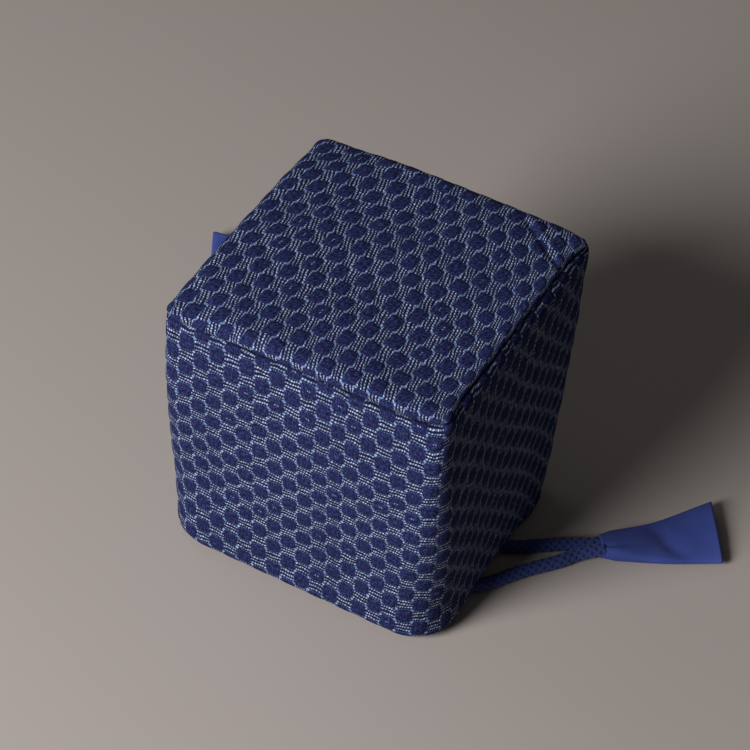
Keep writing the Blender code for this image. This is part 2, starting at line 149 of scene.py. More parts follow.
CORD_LEAD = 0.0045
STRAND_INSIDE = 0.0012
RIGHT_NEAR = (
    (0.0722, 0.0180, LIE),
    (0.0690, 0.0130, LIE),
    (0.0652, 0.0082, LIE),
    (0.0611, 0.0032, LIE),
    (0.0573, -0.0024, LIE),
    (0.0536, -0.0079, LIE),
    (0.0494, -0.0122, LIE),
    (0.0440, -0.0136, LIE + 0.0004),
    (0.0365, -0.0118, 0.0051),
    (0.0290, -0.0090, 0.0057),
    (0.0215, -0.0070, 0.0057),
)
RIGHT_FAR = (
    (0.0672, 0.0208, LIE),
    (0.0612, 0.0165, LIE),
    (0.0562, 0.0126, LIE),
    (0.0505, 0.0090, LIE),
    (0.0445, 0.0072, LIE + 0.0004),
    (0.0365, 0.0068, 0.0051),
    (0.0290, 0.0068, 0.0057),
    (0.0215, 0.0070, 0.0057),
)
LEFT_NEAR = (
    (-0.0886, 0.0390, LIE),
    (-0.0832, 0.0300, LIE),
    (-0.0745, 0.0222, LIE),
    (-0.0650, 0.0160, LIE),
    (-0.0575, 0.0118, LIE),
    (-0.0505, 0.0080, LIE),
    (-0.0445, 0.0036, LIE + 0.0004),
    (-0.0375, -0.0006, 0.0047),
    (-0.0300, -0.0044, 0.0066),
    (-0.0215, -0.0072, 0.0090),
)
LEFT_FAR = (
    (-0.0842, 0.0408, LIE),
    (-0.0790, 0.0350, LIE),
    (-0.0715, 0.0305, LIE),
    (-0.0640, 0.0275, LIE),
    (-0.0570, 0.0248, LIE),
    (-0.0505, 0.0217, LIE),
    (-0.0445, 0.0176, LIE + 0.0004),
    (-0.0375, 0.0130, 0.0047),
    (-0.0300, 0.0094, 0.0066),
    (-0.0215, 0.0074, 0.0090),
)


def smooth_step(value):
    value = min(max(value, 0.0), 1.0)
    return value * value * (3.0 - 2.0 * value)


def smooth_route(points, step):
    """Even points of a smooth curve through a route's own points."""
    places = [Vector(point) for point in points]
    ends = [places[0] * 2 - places[1]] + places + [places[-1] * 2 - places[-2]]
    fine = []
    for before, start, end, after in zip(ends, ends[1:], ends[2:], ends[3:]):
        count = max(2, round((end - start).length / (step / 8)))
        for k in range(count):
            t = k / count
            first = start * 2 + (end - before) * t
            second = (before * 2 - start * 5 + end * 4 - after) * t * t
            third = (start * 3 - before - end * 3 + after) * t * t * t
            fine.append((first + second + third) / 2)
    fine.append(places[-1])
    even = [fine[0]]
    travelled = 0.0
    for here, there in zip(fine, fine[1:]):
        travelled += (there - here).length
        if travelled >= step:
            even.append(there)
            travelled = 0.0
    return even


def laid_cloth(columns, rows, place, weave, crease=None):
    """A flat grid moved point by point to where place says, with its UV counted by weave."""
    bm = bmesh.new()
    bmesh.ops.create_grid(bm, x_segments=columns, y_segments=rows, size=0.5)
    uv = bm.loops.layers.uv.new("weave")
    # Layer "crease" holds painted shade: how far each point is darkened in the seam's groove.
    painted_shade_layer = bm.verts.layers.float.new("crease")
    shares = {vert: (vert.co.x + 0.5, vert.co.y + 0.5) for vert in bm.verts}
    if crease:
        for vert, share in shares.items():
            vert[painted_shade_layer] = crease(*share)
    threads = {vert: weave(*share) for vert, share in shares.items()}
    for face in bm.faces:
        for loop in face.loops:
            loop[uv].uv = threads[loop.vert]
    for vert, share in shares.items():
        vert.co = place(*share)
    return bm


def close_round(bm):
    """Joins the first and last column of a cloth that goes all the way round."""
    bmesh.ops.remove_doubles(bm, verts=bm.verts, dist=0.000001)


def finish_piece(name, bm, material, slot, *replaced):
    """Makes the object, at the origin, riding on the bag in place of its CAD nodes."""
    for face in bm.faces:
        face.smooth = True
    mesh = bpy.data.meshes.new(name)
    bm.to_mesh(mesh)
    bm.free()
    mesh.materials.append(material)
    piece = bpy.data.objects.new(name, mesh)
    bpy.context.scene.collection.objects.link(piece)
    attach(piece, "root")
    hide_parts(*replaced)
    return piece


def new_material(name, roughness, sheen):
    material = bpy.data.materials.new(name)
    material.use_nodes = True
    shader = material.node_tree.nodes["Principled BSDF"]
    shader.inputs["Roughness"].default_value = roughness
    shader.inputs["Sheen Weight"].default_value = sheen
    shader.inputs["Specular IOR Level"].default_value = CLOTH_SHINE
    return material, material.node_tree, shader


def feed(tree, socket, value):
    """Gives an input its plain value, or the link from another node's output."""
    if isinstance(value, bpy.types.NodeSocket):
        tree.links.new(value, socket)
    else:
        socket.default_value = value


def math_node(tree, operation, *values, clamp=False):
    """One Math node, whose inputs are sockets or plain numbers."""
    node = tree.nodes.new("ShaderNodeMath")
    node.operation = operation
    node.use_clamp = clamp
    for socket, value in zip(node.inputs, values):
        feed(tree, socket, value)
    return node.outputs[0]


def mix_node(tree, mask, first, second):
    """Mixes two colours by a mask; each is a socket or a plain colour."""
    node = tree.nodes.new("ShaderNodeMix")
    node.data_type = "RGBA"
    tree.links.new(mask, node.inputs["Factor"])
    for socket, value in zip((node.inputs[6], node.inputs[7]), (first, second)):
        feed(tree, socket, (*value, 1.0) if isinstance(value, tuple) else value)
    return node.outputs[2]


def ramp_node(tree, value, low, high):
    """Smooth rise from 0 at low to 1 at high; low may be the larger."""
    node = tree.nodes.new("ShaderNodeMapRange")
    node.interpolation_type = "SMOOTHSTEP"
    node.inputs["From Min"].default_value = low
    node.inputs["From Max"].default_value = high
    tree.links.new(value, node.inputs["Value"])
    return node.outputs[0]


def wave_node(tree, turns):
    """Cosine from 0 to 1, once per whole number of turns."""
    cosine = math_node(tree, "COSINE", math_node(tree, "MULTIPLY", turns, math.tau))
    return math_node(tree, "MULTIPLY_ADD", cosine, 0.5, 0.5)


def relief_node(tree, shader, height, depth):
    bump = tree.nodes.new("ShaderNodeBump")
    bump.inputs["Strength"].default_value = 1.0
    bump.inputs["Distance"].default_value = depth
    tree.links.new(height, bump.inputs["Height"])
    tree.links.new(bump.outputs["Normal"], shader.inputs["Normal"])


def new_group(name, vectors, numbers, results):
    """An empty node group with its named sockets: the group, what it is given, its results."""
    group = bpy.data.node_groups.new(name, "ShaderNodeTree")
    sockets = [(each, "INPUT", "NodeSocketVector") for each in vectors]
    sockets += [(each, "INPUT", "NodeSocketFloat") for each in numbers]
    sockets += [(each, "OUTPUT", "NodeSocketFloat") for each in results]
    for socket, side, kind in sockets:
        group.interface.new_socket(socket, in_out=side, socket_type=kind)
    given = group.nodes.new("NodeGroupInput")
    result = group.nodes.new("NodeGroupOutput")
    return group, given.outputs, result.inputs


def group_node(tree, group, values):
    """The outputs of a node group that is given sockets or plain numbers by name."""
    node = tree.nodes.new("ShaderNodeGroup")
    node.node_tree = group
    for name, value in values.items():
        feed(tree, node.inputs[name], value)
    return node.outputs


def fibre_group():
    """Uneven dye and loose cotton fibre, shared by every cloth and cord of the bag."""
    group, given, result = new_group("cotton_fibre", (), ("Fineness",), ("Dye", "Fibre"))
    place = group.nodes.new("ShaderNodeTexCoord")
    dye = group.nodes.new("ShaderNodeTexNoise")
    dye.inputs["Scale"].default_value = 75.0
    dye.inputs["Detail"].default_value = 3.0
    fibre = group.nodes.new("ShaderNodeTexNoise")
    fibre.inputs["Detail"].default_value = 4.0
    fibre.inputs["Roughness"].default_value = 0.7
    for noise_node in (dye, fibre):
        group.links.new(place.outputs["Object"], noise_node.inputs["Vector"])
    group.links.new(given["Fineness"], fibre.inputs["Scale"])
    group.links.new(dye.outputs["Fac"], result["Dye"])
    group.links.new(fibre.outputs["Fac"], result["Fibre"])
    return group


cotton_fibre = fibre_group()


def weave_uv(tree):
    """Thread or cell coordinates of a cloth, from its own UV map."""
    uv = tree.nodes.new("ShaderNodeUVMap")
    uv.uv_map = "weave"
    return uv.outputs["UV"]


def two_axes(tree, vector):
    """The first two coordinates of a vector."""
    axes = tree.nodes.new("ShaderNodeSeparateXYZ")
    tree.links.new(vector, axes.inputs[0])
    return axes.outputs["X"], axes.outputs["Y"]


def braid_material():
    """Indigo cotton braid, paler on the tops of its crossing strands."""
    material, tree, shader = new_material("braided_cord", roughness=0.85, sheen=0.1)
    around, along = two_axes(tree, weave_uv(tree))
    fibre = group_node(tree, cotton_fibre, {"Fineness": BRAID_FINENESS})["Fibre"]
    one_way = math_node(tree, "ADD", around, along)
    other_way = math_node(tree, "SUBTRACT", around, along)
    first = math_node(tree, "SINE", math_node(tree, "MULTIPLY", one_way, math.tau))
    second = math_node(tree, "SINE", math_node(tree, "MULTIPLY", other_way, math.tau))
    crossing = math_node(tree, "MAXIMUM", first, second)
    lift = math_node(tree, "MULTIPLY", crossing, 0.20)
    tone = math_node(tree, "MULTIPLY_ADD", fibre, 0.8, lift, clamp=True)
    colour = mix_node(tree, tone, BRAID_DARK, BRAID_PALE)
    tree.links.new(colour, shader.inputs["Base Color"])
    relief_node(tree, shader, math_node(tree, "ADD", crossing, fibre), BRAID_GRAIN)
    return material


cord_finish = braid_material()


def tab_axes(ends):
    """Neck place, unit length direction and unit cross direction of a tab."""
    neck = Vector((*ends[0], 0.0))
    along = (Vector((*ends[1], 0.0)) - neck).normalized()
    across = Vector((-along.y, along.x, 0.0))
    return neck, along, across


def strand_lead(ends, side):
    """Where a strand goes into its tab, the near one over the far one, and the bit before."""
    neck, along, across = tab_axes(ends)
    beside = neck + across * (side * STRAND_APART / 2 - NECK_DRIFT)
    over = STRAND_OVER if across.y * side < 0 else 0.0
    inside = beside + along * STRAND_INSIDE
    before = beside - along * CORD_LEAD
    lead = over * STRAND_OVER_LEAD
    return [(inside.x, inside.y, LIE + over), (before.x, before.y, LIE + lead)]


def loop_points(side, height):
    """The turn of a cord round the mouth, inside the casing."""
    sweep = math.tau - 2 * LOOP_OPENING
    points = []
    for step in range(LOOP_STEPS + 1):
        angle = -LOOP_OPENING - sweep * step / LOOP_STEPS
        x = side * NECK_RADIUS * math.cos(angle)
        points.append((x, NECK_RADIUS * math.sin(angle), height))
    return points


def braided_tube(name, points, diameter, node):
    """A braided cord along a route: a grid rolled round it and closed at both ends."""
    route = smooth_route(points, STRAND_RING)
    last = len(route) - 1
    length = sum((there - here).length for here, there in zip(route, route[1:]))
    frames = []
    up = Vector((0.0, 0.0, 1.0))
    for i in range(last + 1):
        ahead = (route[min(i + 1, last)] - route[max(i - 1, 0)]).normalized()
        up = (up - ahead * up.dot(ahead)).normalized()
        frames.append((up.copy(), ahead.cross(up)))

    def place(u, v):
        i = round(v * last)
        turn = u * BRAID_CARRIERS
        run = v * length / BRAID_STEP
        crossing = max(math.sin(math.tau * (turn + run)), math.sin(math.tau * (turn - run)))
        radius = diameter / 2 - BRAID_RELIEF * (0.5 - crossing / 2)
        side_up, side_out = frames[i]
        angle = math.tau * u
        return route[i] + (side_up * math.cos(angle) - side_out * math.sin(angle)) * radius

    def weave(u, v):
        return u * BRAID_CARRIERS, v * length / BRAID_STEP

    bm = laid_cloth(STRAND_SIDES, last, place, weave)
    close_round(bm)
    bmesh.ops.holes_fill(bm, edges=bm.edges, sides=STRAND_SIDES)
    bmesh.ops.recalc_face_normals(bm, faces=bm.faces)
    piece = finish_piece(name, bm, cord_finish, "braided_cord", node)
    return piece, route, length


def strand(name, node, ends, side, points):
    """One free strand, from the slit of the casing to the tab."""
    route = list(reversed(points)) + list(reversed(strand_lead(ends, side)))
    piece, path, length = braided_tube(name, route, STRAND, node)
    [tuple(p) for p in path]


def casing_loop(name, node, side, height, near, far):
    """The hidden turn of a cord round the mouth, between its two strands."""
    braided_tube(name, [near[-1], *loop_points(side, height), far[-1]], CORD, node)


# Tabs
# Each pair of cord ends is held in a square of plain indigo cotton, folded round them and
# stitched flat: pinched at the cords, flared towards its open end, with a soft dent across.
TAB_LENGTH = 0.0412
TAB_NECK = 0.0092
TAB_END = 0.0266
TAB_PINCH = 0.0005
TAB_NECK_THICK = 0.0062
TAB_END_THICK = 0.0032
TAB_THINNING = 1.7
TAB_FLAT = 0.45
TAB_FLAT_PINCH = 0.4
TAB_ROUND = 0.75
TAB_LIFT = 0.0014
TAB_DENT = 0.0009
TAB_SKEW = 0.106
TAB_SIDE_BOW = 0.0007
TAB_DRIFT = 0.0008
TAB_PINCH_SHARE = 0.12
TAB_FLARE = 0.92
TAB_LEAN = 0.4
TAB_SIDE_BEND = 1.2
TAB_DENT_AT = 0.56
TAB_DENT_SLANT = 0.10
TAB_DENT_WIDE = 0.09
TAB_CREASE = 0.00072
TAB_CREASE_SIDE = 0.55
TAB_CREASE_SLANT = 1.2
TAB_CREASE_WIDE = 0.10
TAB_CREASE_END = 0.35
TAB_SWELL = 0.0003
TAB_COLUMNS = 96
TAB_ROWS = 64
TAB_CLOTH = 0.0006
THREAD = 0.00045
COTTON_GRAIN = 0.00004
COTTON_FINENESS = 1500.0
BLUE_DARK = (0.018, 0.027, 0.122)
BLUE_PALE = (0.056, 0.082, 0.310)


def plain_weave_group():
    """Over and under threads of plain cotton, from thread coordinates."""
    group, given, result = new_group("plain_weave", ("Threads",), (), ("Height",))
    across, along = two_axes(group, given["Threads"])
    warp = math_node(group, "SINE", math_node(group, "MULTIPLY", across, math.pi))
    weft = math_node(group, "SINE", math_node(group, "MULTIPLY", along, math.pi))
    group.links.new(math_node(group, "MULTIPLY", warp, weft), result["Height"])
    return group


plain_weave = plain_weave_group()


def plain_cotton(name, dark, pale):
    """Plain-woven cotton with uneven dye."""
    material, tree, shader = new_material(name, roughness=0.9, sheen=0.03)
    weave = group_node(tree, plain_weave, {"Threads": weave_uv(tree)})
    cotton = group_node(tree, cotton_fibre, {"Fineness": COTTON_FINENESS})
    patchy = math_node(tree, "MULTIPLY_ADD", cotton["Dye"], 0.8, -0.15)
    loose = math_node(tree, "MULTIPLY_ADD", cotton["Fibre"], 0.5, patchy)
    tone = math_node(tree, "MULTIPLY_ADD", weave["Height"], 0.08, loose, clamp=True)
    tree.links.new(mix_node(tree, tone, dark, pale), shader.inputs["Base Color"])
    relief_node(tree, shader, cotton["Fibre"], COTTON_GRAIN)
    return material


blue_cotton = plain_cotton("plain_blue", BLUE_DARK, BLUE_PALE)


def thicken(piece, thickness, offset=-1.0):
    """Gives a sheet the thickness of its cloth, on its inner side unless told otherwise."""
    wall = piece.modifiers.new("cloth", "SOLIDIFY")
    wall.thickness = thickness
    wall.offset = offset


def folded_tab(name, ends):
    """A flattened sleeve of cloth round the cord ends, flared and open at its far end."""
    neck, along, across = tab_axes(ends)

    def section(u, v):
        pinch = 1 - smooth_step(v / TAB_PINCH_SHARE)
        half = (TAB_NECK + (TAB_END - TAB_NECK) * v ** TAB_FLARE) / 2 - TAB_PINCH * pinch
        turn, rise = math.cos(math.tau * u), math.sin(math.tau * u)
        side = math.copysign(abs(turn) ** (TAB_FLAT + TAB_FLAT_PINCH * pinch), turn)
        return side, math.copysign(abs(rise) ** TAB_ROUND, rise), half

    def place(u, v):
        side, top, half = section(u, v)
        thinner = smooth_step(v * TAB_THINNING)
        thick = TAB_NECK_THICK + (TAB_END_THICK - TAB_NECK_THICK) * thinner
        from_dent = (v - TAB_DENT_AT + side * TAB_DENT_SLANT) / TAB_DENT_WIDE
        dent = math.exp(-from_dent ** 2) * (1 - side ** 4)
        from_crease = (side + TAB_CREASE_SIDE - v * TAB_CREASE_SLANT) / TAB_CREASE_WIDE
        crease = math.exp(-from_crease ** 2) * (1 - smooth_step(v / TAB_CREASE_END))
        height = thick / 2 * (1 + top) + TAB_LIFT * v * v * (1 + TAB_LEAN * side)
        if top > 0:
            height -= (TAB_DENT * dent + TAB_CREASE * crease) * top
        bow = TAB_SIDE_BOW * math.sin(math.pi * v) * (TAB_SIDE_BEND + TAB_LEAN * side)
        sideways = side * half - bow + TAB_DRIFT * v - NECK_DRIFT * (1 - v)
        forward = TAB_LENGTH * v + TAB_SKEW * side * half * v ** 4
        spot = Vector((side * 1.5, v * 3.0, top * 0.5 + neck.x * 90))
        height += noise.noise(spot) * TAB_SWELL * v
        return neck + along * forward + across * sideways + Vector((0.0, 0.0, height))

    def weave(u, v):
        side, _, half = section(u, v)
        return side * half / THREAD, v * TAB_LENGTH / THREAD

    bm = laid_cloth(TAB_COLUMNS, TAB_ROWS, place, weave)
    close_round(bm)
    bmesh.ops.recalc_face_normals(bm, faces=bm.faces)
    piece = finish_piece(name + "_cloth", bm, blue_cotton, "plain_blue", name)
    thicken(piece, TAB_CLOTH)
    return piece


tab_right = folded_tab("tab_right", TAB_RIGHT)
tab_left = folded_tab("tab_left", TAB_LEFT)
strand("strand_right_near", "drawstring_right", TAB_RIGHT, -1, RIGHT_NEAR)
strand("strand_right_far", "drawstring_right", TAB_RIGHT, 1, RIGHT_FAR)
strand("strand_left_near", "drawstring_left", TAB_LEFT, 1, LEFT_NEAR)
strand("strand_left_far", "drawstring_left", TAB_LEFT, -1, LEFT_FAR)
casing_loop("loop_right", "drawstring_right", 1, LOOP_RIGHT_Z, RIGHT_NEAR, RIGHT_FAR)
casing_loop("loop_left", "drawstring_left", -1, LOOP_LEFT_Z, LEFT_NEAR, LEFT_FAR)

# Side band
# One strip of checker-woven cloth wraps all four sides, closed by a seam behind. Thick
# indigo floats stand up as pads, and rows of pale dashes lie between them.
HEIGHT = 0.110
TOP_WIDTH = 0.100
TOP_DEPTH = 0.101
RIM_WIDTH = 0.1032
RIM_DEPTH = 0.0904
BULGE = 0.0007
BULGE_RISE = 0.45
BULGE_SPREAD = 0.22
CORNER_TOP = 0.004
CORNER_RIM = 0.016
RIM_ROLL = 0.0040
SEAM_DROP = 0.0037
SEAM_DROP_SWING = 0.0016
SEAM_DROP_TURN = math.radians(145)
SEAM_ROLL = 0.0017
SEAM_TUCK = 0.0014
SEAM_ROLL_RIGHT = 0.0036
SEAM_DROP_RIGHT = 0.0013
# Insets where the painted shade in the seam's groove begins and how far it takes to deepen.
SEAM_LIT = 0.0002
SEAM_SHADE = 0.0009
SEAM_LIT_RIGHT = 1.3
RIGHT_END = 1.15
RIGHT_FADE = 0.30
CLOSING_TUCK = 0.0011
CLOSING_SIDE = 2.5
CLOSING_WIDE = 0.35
WALL_SETTLED = 0.012
CLOTH = 0.0012
GAP = 0.0003
COLLAR_CLOTH = 0.0009
SIDE_COLUMNS = 18
BAND_ROWS = 21
ROW_SPREAD = 0.022
PAD_RISE = 0.00017
ARCH_RISE = 0.0047
ARCH_HALF = 0.0142
ARCH_SHOULDER = 0.0110
ARCH_FADE = 0.018
ARCH_INNER = 0.020
ARCH_OUTER = 0.030
ARCH_RIGHT_Y = -0.0020
ARCH_LEFT_Y = 0.0115
BAND_PAD = (0.50, 0.53)
PAD_POWER = 5.5
PAD_RIM_POWER = 4.0
PAD_FADE = (1.06, 0.84)
ROW_LINE = (0.44, 0.92)
BEAD_LINE = (0.25, 0.85)
ROW_STAGGER = -0.40
LINK_ACROSS = 0.13
LINK_UP = 0.17
RIM_EDGE = 1.22
RIM_FADE = (0.36, 0.08)
STITCH_LINE = (0.55, 0.95)
FLECK_SIDE = 0.075
FLECK_SIZE = (0.0030, 0.0006)
FLECK_CHANCE = (0.80, 0.95)
BAND_DRIFT = (0.18, 0.30)
THREAD_DRIFT = 0.12
CELL_COLUMNS = 5
CELL_ROWS = 6
SHARPEST_CORNER = 0.0015
SWELL_BROAD = 0.0007
SWELL_FINE = 0.00022
# How far painted shade darkens the cloth in the seam's groove.
PAINTED_SHADE_DARKNESS = 0.9
PAD_DARK = (0.0052, 0.0060, 0.0280)
PAD_PALE = (0.0310, 0.0400, 0.1380)
FLECK_COLOUR = (0.180, 0.240, 0.420)
GROUND_DARK = (0.0020, 0.0030, 0.0160)
GROUND_PALE = (0.0080, 0.0125, 0.0520)
LINK_COLOUR = (0.150, 0.270, 0.500)
DASH_COLOUR = (0.420, 0.490, 0.700)
# Near-black colour of the painted shade in the seam's groove.
PAINTED_SHADE_COLOUR = (0.0015, 0.0020, 0.0080)
WEAVE_GRAIN = 0.00016
WEAVE_FINENESS = 2300.0


def corner_radius(height):
    """Radius of the bag's upright corners at a height."""
    return CORNER_RIM + (CORNER_TOP - CORNER_RIM) * smooth_step(height / HEIGHT)


def half_sizes(height):
    """Half width and half depth of the bag at a height."""
    share = min(max(height / HEIGHT, 0.0), 1.0)
    rise = smooth_step(share)
    bulge = BULGE * math.exp(-((share - BULGE_RISE) / BULGE_SPREAD) ** 2)
    half_x = (RIM_WIDTH + (TOP_WIDTH - RIM_WIDTH) * rise) / 2 + bulge
    half_y = (RIM_DEPTH + (TOP_DEPTH - RIM_DEPTH) * rise) / 2 + bulge
    return half_x, half_y


def side_point(half_along, half_out, corner, part):
    """Place and outward direction on one side, from the middle of one corner to the next."""
    arc = corner * math.pi / 4
    straight = 2 * (half_along - corner)
    travel = part * (straight + 2 * arc)
    mirror = 1.0
    if travel > arc + straight / 2:
        travel = straight + 2 * arc - travel
        mirror = -1.0
    if travel < arc:
        turn = math.pi / 4 - travel / corner
        along = -(half_along - corner) - corner * math.sin(turn)
        out = half_out - corner + corner * math.cos(turn)
        return along * mirror, out, -math.sin(turn) * mirror, math.cos(turn)
    return (-(half_along - corner) + travel - arc) * mirror, half_out, 0.0, 1.0


def around_bag(share, inset, height):
    """Place and outward direction at a share of the way round the bag's four sides."""
    half_x, half_y = half_sizes(height)
    corner = max(corner_radius(height) - inset, SHARPEST_CORNER)
    side = int(share * 4) % 4
    spans = (half_x - inset, half_y - inset)
    if side % 2:
        spans = (spans[1], spans[0])
    along, out, lean, face = side_point(*spans, corner, share * 4 - int(share * 4))
    turned = (
        (along, -out, lean, -face),
        (out, along, face, lean),
        (-along, out, -lean, face),
        (-out, -along, -face, -lean),
    )
    x, y, out_x, out_y = turned[side]
    return Vector((x, y, height)), Vector((out_x, out_y, 0.0))


def arch_lift(place):
    """How far the soft rim rises over the strands that leave under it."""
    middle = ARCH_RIGHT_Y if place.x > 0 else ARCH_LEFT_Y
    inward = smooth_step((abs(place.x) - ARCH_INNER) / (ARCH_OUTER - ARCH_INNER))
    across = 1.0 - smooth_step((abs(place.y - middle) - ARCH_HALF) / ARCH_SHOULDER)
    return ARCH_RISE * inward * across * smooth_step(1.0 - place.z / ARCH_FADE)


def right_share(place):
    """1 along the right side, where the band's edge rolls up over the panel's, else 0."""
    from_right = abs(math.atan2(place.y, place.x)) / (math.pi / 4)
    return smooth_step((RIGHT_END - from_right) / RIGHT_FADE)


def seam_height(place):
    """Height of the seam between base and sides, which wanders as a hand-sewn one does."""
    turn = math.atan2(place.y, place.x) + SEAM_DROP_TURN
    drop = SEAM_DROP + SEAM_DROP_SWING * math.cos(turn)
    return HEIGHT - drop - (SEAM_DROP_RIGHT - drop) * right_share(place)


def seam_roll(place):
    """Radius with which the band's upper edge turns in, fuller on the right."""
    return SEAM_ROLL + (SEAM_ROLL_RIGHT - SEAM_ROLL) * right_share(place)


def pad_height(across, up, half_across, half_up):
    """Domed height of the checker's raised pads, 0 to 1, at cell coordinates."""
    column = math.floor(across)
    from_middle = abs(across - column - 0.5) / half_across
    from_pad = (1 - abs((up + column % 2 - 0.5) % 2 - 1)) / half_up
    edge = (from_middle ** PAD_POWER + from_pad ** PAD_POWER) ** (PAD_RIM_POWER / PAD_POWER)
    return math.sqrt(max(0.0, 1.0 - edge))


def wadding_swell(place):
    """Gentle unevenness of the wadding behind the cloth."""
    return noise.noise(place * 32.0) * SWELL_BROAD + noise.noise(place * 95.0) * SWELL_FINE


def drifted(group, cells):
    """Cell coordinates moved a little by a slow noise, as a loom's threads wander."""
    drift = group.nodes.new("ShaderNodeTexNoise")
    drift.noise_dimensions = "2D"
    drift.inputs["Scale"].default_value = 1.6
    drift.inputs["Detail"].default_value = 2.0
    group.links.new(cells, drift.inputs["Vector"])
    shift = group.nodes.new("ShaderNodeVectorMath")
    shift.operation = "MULTIPLY_ADD"
    shift.inputs[1].default_value = (THREAD_DRIFT * 2, THREAD_DRIFT * 2, 0.0)
    shift.inputs[2].default_value = (-THREAD_DRIFT, -THREAD_DRIFT, 0.0)
    group.links.new(drift.outputs["Color"], shift.inputs[0])
    moved = group.nodes.new("ShaderNodeVectorMath")
    group.links.new(cells, moved.inputs[0])
    group.links.new(shift.outputs[0], moved.inputs[1])
    return two_axes(group, moved.outputs[0])


def chance_node(group, first, second, third):
    """A random value, the same for all of one dash or one pad."""
    count = group.nodes.new("ShaderNodeCombineXYZ")
    for socket, value in zip(count.inputs, (first, second, third)):
        group.links.new(value, socket)
    chance = group.nodes.new("ShaderNodeTexWhiteNoise")
    chance.noise_dimensions = "3D"
    group.links.new(count.outputs[0], chance.inputs["Vector"])
    return chance.outputs["Value"]


def checker_group():
    """Masks of the checker weave from its cell coordinates: pads, dashes and links."""
    group, given, result = new_group(
        "checker_weave", ("Cells",), ("Pad across", "Pad up", "Row gap", "Dashes", "Slant"),
        ("Pad", "Dash", "Link", "Fleck", "Height"))

    def calc(operation, *values, clamp=False):
        return math_node(group, operation, *values, clamp=clamp)

    across, up = drifted(group, given["Cells"])
    column = calc("FLOOR", across)
    in_column = calc("SUBTRACT", across, calc("ADD", column, 0.5))
    from_middle = calc("ABSOLUTE", in_column)
    stagger = calc("FLOORED_MODULO", column, 2.0)
    staggered = calc("ADD", up, calc("SUBTRACT", stagger, 0.5))
    cycle = calc("FLOORED_MODULO", staggered, 2.0)
    from_dashes = calc("SUBTRACT", cycle, 1.0)
    far_from_dashes = calc("ABSOLUTE", from_dashes)
    from_pad = calc("SUBTRACT", 1.0, far_from_dashes)
    pad_x = calc("DIVIDE", from_middle, given["Pad across"])
    pad_y = calc("DIVIDE", from_pad, given["Pad up"])
    power_x = calc("POWER", pad_x, PAD_POWER)
    power_y = calc("POWER", pad_y, PAD_POWER)
    both = calc("ADD", power_x, power_y)
    edge = calc("POWER", both, PAD_RIM_POWER / PAD_POWER)
    pad = ramp_node(group, edge, *PAD_FADE)
    open_ground = calc("SUBTRACT", 1.0, pad)
    leaned = calc("MULTIPLY", in_column, given["Slant"])
    level_with_dash = calc("SUBTRACT", from_dashes, leaned)
    rows = calc("DIVIDE", level_with_dash, given["Row gap"])
    dashes = calc("MULTIPLY", across, given["Dashes"])
    slanted = calc("MULTIPLY_ADD", rows, ROW_STAGGER, dashes)
    row_wave = wave_node(group, rows)
    row_line = ramp_node(group, row_wave, *ROW_LINE)
    dash_wave = wave_node(group, slanted)
    bead = ramp_node(group, dash_wave, *BEAD_LINE)
    beads = calc("MULTIPLY_ADD", bead, 0.85, 0.15)
    dash_number = calc("ROUND", slanted)
    row_number = calc("ROUND", rows)
    luck = chance_node(group, dash_number, row_number, column)
    brightness = calc("MULTIPLY_ADD", luck, 0.80, 0.30)
    dash = calc("MULTIPLY", calc("MULTIPLY", row_line, beads), brightness)
    dash = calc("MULTIPLY", dash, open_ground)
    side = calc("DIVIDE", calc("SUBTRACT", 0.5, from_middle), LINK_ACROSS)
    over_half = calc("SUBTRACT", far_from_dashes, 0.5)
    level = calc("DIVIDE", over_half, LINK_UP)
    reach = calc("ADD", calc("MULTIPLY", side, side), calc("MULTIPLY", level, level))
    corner = ramp_node(group, reach, 1.0, 0.1)
    from_rim = calc("ABSOLUTE", calc("SUBTRACT", edge, RIM_EDGE))
    stitch = ramp_node(group, calc("MAXIMUM", row_wave, dash_wave), *STITCH_LINE)
    stitches = calc("MULTIPLY_ADD", stitch, 0.85, 0.15)
    rim = calc("MULTIPLY", ramp_node(group, from_rim, *RIM_FADE), stitches)
    link = calc("MULTIPLY", calc("MAXIMUM", corner, rim), open_ground)
    pad_number = calc("ROUND", calc("MULTIPLY", staggered, 0.5))
    pad_luck = chance_node(group, pad_number, column, stagger)
    beside = calc("SUBTRACT", from_middle, FLECK_SIDE)
    spot = calc("ADD", calc("MULTIPLY", beside, beside), calc("MULTIPLY", from_pad, from_pad))
    fleck = calc("MULTIPLY", ramp_node(group, spot, *FLECK_SIZE),
                 ramp_node(group, pad_luck, *FLECK_CHANCE))
    dome = calc("SUBTRACT", 1.0, edge, clamp=True)
    height = calc("MULTIPLY_ADD", dash, 0.5, dome)
    for name, value in (("Pad", pad), ("Dash", dash), ("Link", link), ("Fleck", fleck),
                        ("Height", height)):
        group.links.new(value, result[name])
    return group


checker = checker_group()


